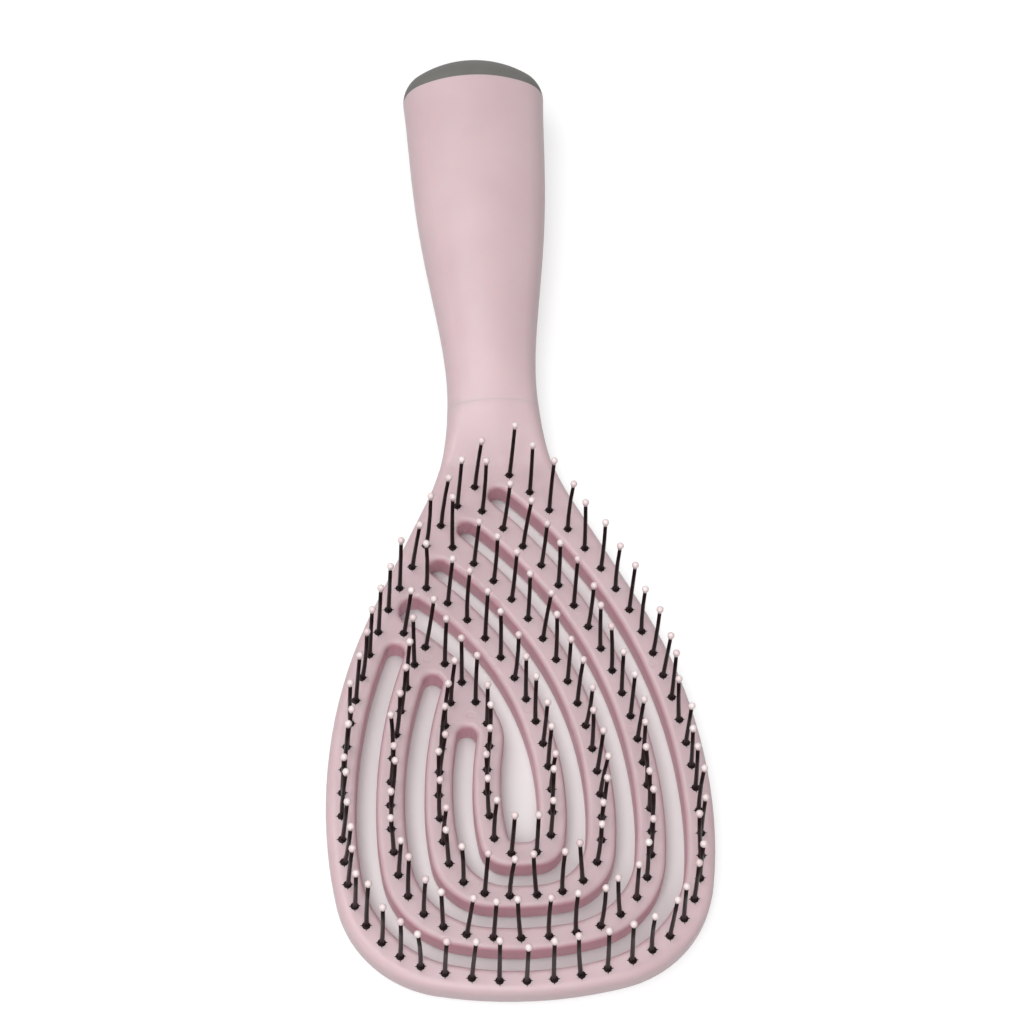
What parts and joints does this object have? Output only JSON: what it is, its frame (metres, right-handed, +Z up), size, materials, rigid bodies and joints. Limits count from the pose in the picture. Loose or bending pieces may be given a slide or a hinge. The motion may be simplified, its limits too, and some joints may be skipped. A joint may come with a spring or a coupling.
{
  "type": "detangling hair brush",
  "caption": "Vented detangling hair brush: a flat rounded head of nested ribs with rows of ball-tipped pins, on a hollow flared handle with a rounded end cap that it can stand on.",
  "frame": {"origin": "middle of the bounding box, on the surface that the brush lies on", "axes": "+Y along the handle, from the head to the foot cap; +Z up, the way the pins point; +X to the right when looking along +Y with the pins up"},
  "size_m": [0.0786, 0.2306, 0.025],
  "materials": {
    "pink_shell": "satin moulded, dusty pink",
    "grey_cap": "matt, warm dark grey",
    "black_strip": "matt black",
    "black_pin": "black nylon with a soft sheen",
    "pale_bead": "smooth pale pink"
  },
  "bodies": {
    "root": {"front_shell": "pink_shell", "back_shell": "pink_shell", "handle_tube": "pink_shell", "foot_cap": "grey_cap", "pin_strip_outer": "black_strip", "pin_strip_second": "black_strip", "pin_strip_third": "black_strip", "pin_strip_inner": "black_strip", "pins_outer": "black_pin", "pins_second": "black_pin", "pins_third": "black_pin", "pins_inner": "black_pin", "tip_beads_outer": "pale_bead", "tip_beads_second": "pale_bead", "tip_beads_third": "pale_bead", "tip_beads_inner": "pale_bead"}
  },
  "joints": []
}
